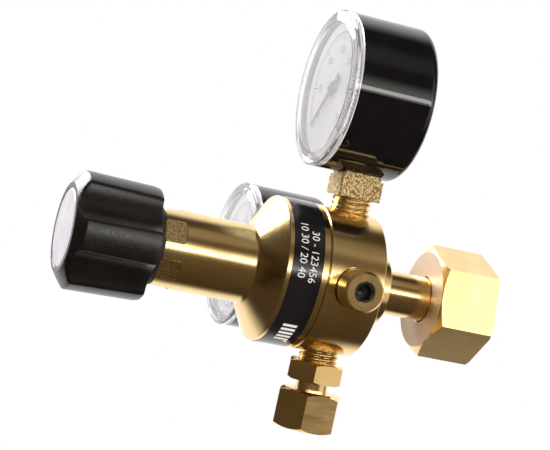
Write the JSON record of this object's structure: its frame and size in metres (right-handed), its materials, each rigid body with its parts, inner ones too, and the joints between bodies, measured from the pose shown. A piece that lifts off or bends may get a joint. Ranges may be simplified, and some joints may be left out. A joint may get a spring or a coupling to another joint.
{
  "type": "gas cylinder regulator",
  "caption": "Brass carbon dioxide cylinder regulator with a ribbed adjusting knob, two pressure gauges, a relief valve, a hose outlet below and a hexagon cylinder nut.",
  "frame": {"origin": "centre of the inlet sealing face, where the main axis meets the washer's front inside the cylinder nut", "axes": "+X along the main axis out of the cylinder nut, away from the knob; +Z towards the top gauge, away from the outlet; +Y towards the second gauge, away from the relief valve"},
  "size_m": [0.1407, 0.1167, 0.1336],
  "materials": {
    "brass_body": "satin turned brass",
    "brass_turned": "turned brass",
    "brass_drawn": "raw drawn hexagon brass with fine lines",
    "brass_inner": "machined brass",
    "label_black": "black printed band with pale figures",
    "knob_black": "satin black moulded plastic",
    "cap_silver": "silver-grey cap",
    "ring_black": "black rubber",
    "rubber_black": "rubber",
    "steel": "steel",
    "spring_steel": "spring steel",
    "gauge_case": "gloss black enamel",
    "gauge_lens": "clear snap-in window",
    "gauge_dial": "white dial with black scale",
    "gauge_pointer": "black pointer",
    "gauge_disc": "black plug",
    "seal_fibre": "pressed sealing fibre",
    "nylon": "nylon",
    "sintered": "sintered bronze filter"
  },
  "bodies": {
    "body": {"regulator_body": "brass_body", "bonnet": "brass_body", "label_band": "label_black", "bonnet_dust_ring": "ring_black", "slip_ring": "nylon", "diaphragm": "rubber_black", "main_spring": "spring_steel", "valve_seat": "brass_inner", "valve_spring": "spring_steel", "valve_retainer": "brass_inner", "inlet_nipple": "brass_turned", "inlet_filter": "sintered", "inlet_seal": "seal_fibre", "relief_housing": "brass_turned", "relief_seal": "rubber_black", "relief_adjuster": "brass_inner", "relief_spring": "spring_steel", "outlet_union": "brass_drawn", "flow_orifice": "brass_inner", "outlet_nipple": "brass_turned", "top_gauge_case": "gauge_case", "top_gauge_blowout_disc": "gauge_disc", "top_gauge_lens": "gauge_lens", "top_gauge_dial": "gauge_dial", "top_gauge_socket": "brass_drawn", "top_gauge_bourdon_tube": "brass_inner", "top_gauge_movement_plates": "brass_inner", "back_gauge_case": "gauge_case", "back_gauge_blowout_disc": "gauge_disc", "back_gauge_lens": "gauge_lens", "back_gauge_dial": "gauge_dial", "back_gauge_socket": "brass_drawn", "back_gauge_bourdon_tube": "brass_inner", "back_gauge_movement_plates": "brass_inner"},
    "screw_carriage": {"upper_spring_button": "steel", "thrust_ball": "steel"},
    "knob": {"knob": "knob_black", "knob_cap": "cap_silver", "knob_insert": "brass_inner", "knob_screw": "steel", "adjusting_screw": "steel"},
    "valve_train": {"lower_spring_plate": "steel", "diaphragm_plate": "brass_inner", "valve_pin": "steel", "poppet_seal": "nylon", "valve_poppet": "brass_inner"},
    "relief_poppet": {"relief_poppet": "brass_inner"},
    "nut_washer": {"nut_slip_washer": "nylon"},
    "union_nut": {"union_nut": "brass_drawn"},
    "outlet_nut": {"outlet_nut": "brass_drawn"},
    "top_pointer": {"top_gauge_pointer": "gauge_pointer", "top_gauge_pinion": "steel"},
    "top_sector": {"top_gauge_sector": "brass_inner"},
    "back_pointer": {"back_gauge_pointer": "gauge_pointer", "back_gauge_pinion": "steel"},
    "back_sector": {"back_gauge_sector": "brass_inner"}
  },
  "joints": [
    {"name": "screw_slide", "type": "slide", "parent": "body", "child": "screw_carriage", "axis": [1, 0, 0], "range_m": [0, 0.006], "deforming": ["main_spring"]},
    {"name": "knob_turn", "type": "hinge", "parent": "screw_carriage", "child": "knob", "pos_m": [-0.115, 0, 0], "axis": [1, 0, 0], "range_deg": [0, 1440]},
    {"name": "valve_stroke", "type": "slide", "parent": "body", "child": "valve_train", "axis": [1, 0, 0], "range_m": [0, 0.0008], "stiffness_N_per_m": 2500, "springref_m": -0.001, "deforming": ["main_spring", "diaphragm", "valve_spring"]},
    {"name": "relief_lift", "type": "slide", "parent": "body", "child": "relief_poppet", "axis": [0, -1, 0], "range_m": [0, 0.0012], "stiffness_N_per_m": 1500, "springref_m": -0.001, "deforming": ["relief_spring"]},
    {"name": "nut_slide", "type": "slide", "parent": "body", "child": "nut_washer", "axis": [-1, 0, 0], "range_m": [0, 0.0145]},
    {"name": "nut_spin", "type": "hinge", "parent": "nut_washer", "child": "union_nut", "pos_m": [0, 0, 0], "axis": [1, 0, 0], "continuous": true},
    {"name": "outlet_nut_spin", "type": "hinge", "parent": "body", "child": "outlet_nut", "pos_m": [-0.039, 0, -0.0424], "axis": [0, 0, -1], "continuous": true},
    {"name": "top_pointer_turn", "type": "hinge", "parent": "body", "child": "top_pointer", "pos_m": [-0.0538, 0, 0.06], "axis": [1, 0, 0], "range_deg": [0, 270], "stiffness_Nm_per_rad": 0.0005},
    {"name": "top_sector_swing", "type": "hinge", "parent": "body", "child": "top_sector", "pos_m": [-0.0538, 0, 0.048], "axis": [1, 0, 0], "range_deg": [-30.5, 0.5]},
    {"name": "back_pointer_turn", "type": "hinge", "parent": "body", "child": "back_pointer", "pos_m": [-0.0538, 0.06, 0], "axis": [1, 0, 0], "range_deg": [0, 270], "stiffness_Nm_per_rad": 0.0005},
    {"name": "back_sector_swing", "type": "hinge", "parent": "body", "child": "back_sector", "pos_m": [-0.0538, 0.048, 0], "axis": [1, 0, 0], "range_deg": [-30.5, 0.5]}
  ],
  "couplings": [
    {"joint": "knob_turn", "follows": "screw_slide", "rad_per_m": 4188.8},
    {"joint": "top_sector_swing", "follows": "top_pointer_turn", "ratio": -0.11111},
    {"joint": "back_sector_swing", "follows": "back_pointer_turn", "ratio": -0.11111}
  ]
}
